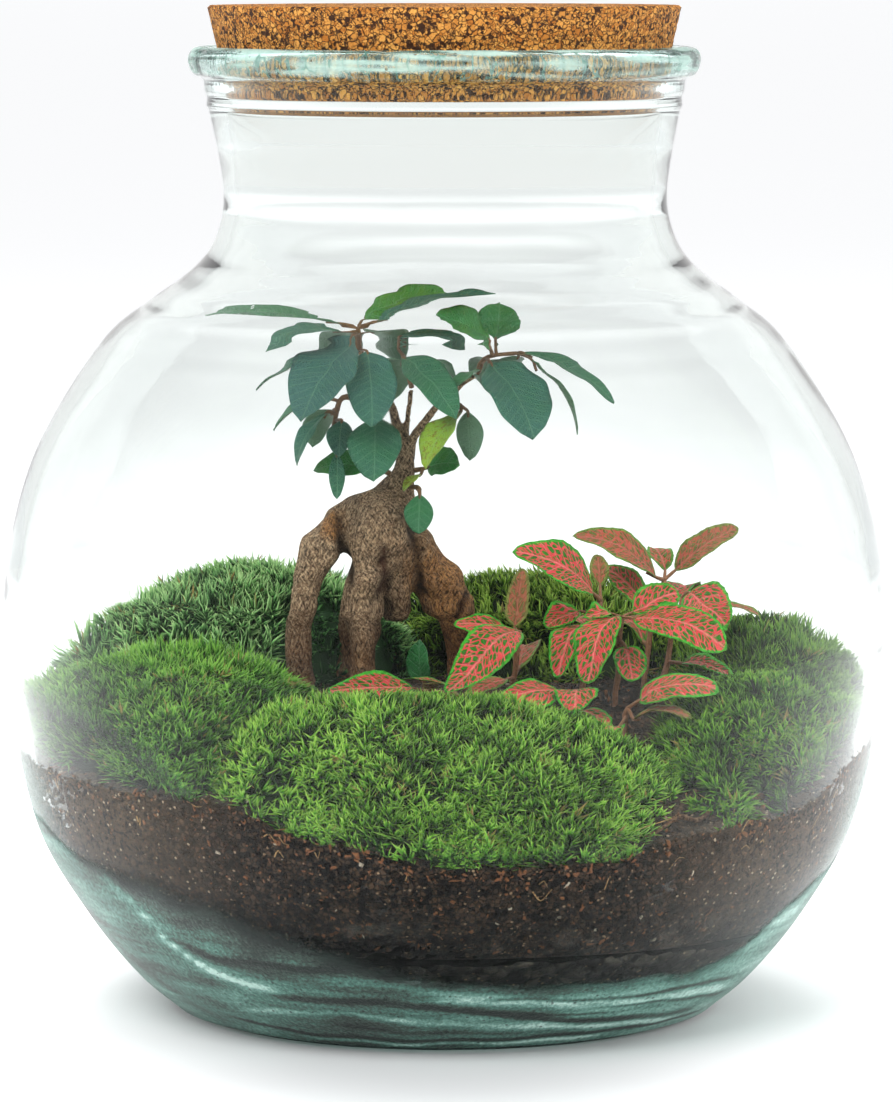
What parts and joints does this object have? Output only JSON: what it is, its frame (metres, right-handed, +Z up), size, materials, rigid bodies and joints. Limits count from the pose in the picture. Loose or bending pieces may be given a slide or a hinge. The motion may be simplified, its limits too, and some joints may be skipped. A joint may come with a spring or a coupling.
{
  "type": "closed jar terrarium",
  "caption": "Round recycled-glass jar with a wide cork stopper, planted with a ginseng ficus, red nerve plant and moss cushions on dark soil.",
  "frame": {"origin": "centre of the foot ring, on the surface the jar stands on", "axes": "+Z up the jar's axis; -Y towards the viewer of the picture"},
  "size_m": [0.2614, 0.2614, 0.2958],
  "materials": {
    "jar_glass": "clear recycled glass with a blue-green tint where it is thick",
    "cork": "pressed cork granules, matte",
    "grit": "coarse dark grit",
    "soil": "fine moist potting soil with light specks",
    "moss": "dense living cushion moss",
    "bark": "rough grey-brown bark",
    "ficus_leaf": "glossy dark green leaf",
    "fittonia_leaf": "green leaf with a pink-red net of veins"
  },
  "bodies": {
    "root": {"jar": "jar_glass", "cork_stopper": "cork", "drainage_layer": "grit", "soil": "soil", "bark_chip": "bark", "root_fibre": "bark", "moss_front": "moss", "moss_front_left": "moss", "moss_back_left": "moss", "moss_right_front": "moss", "moss_right_back": "moss", "moss_back": "moss", "ficus_trunk": "bark", "ficus_spray_left": "ficus_leaf", "ficus_spray_right": "ficus_leaf", "ficus_spray_middle": "ficus_leaf", "ficus_spray_low": "ficus_leaf", "ficus_leaf_drop": "ficus_leaf", "ficus_leaf_pair": "ficus_leaf", "ficus_leaf_neck_left": "ficus_leaf", "ficus_leaf_neck_right": "ficus_leaf", "ficus_leaf_hanging": "ficus_leaf", "ficus_sucker": "ficus_leaf", "fittonia_back": "fittonia_leaf", "fittonia_right": "fittonia_leaf", "fittonia_centre": "fittonia_leaf", "fittonia_middle": "fittonia_leaf", "fittonia_low_front": "fittonia_leaf", "fittonia_left": "fittonia_leaf", "fittonia_creeping": "fittonia_leaf", "fittonia_low_right": "fittonia_leaf"}
  },
  "joints": []
}
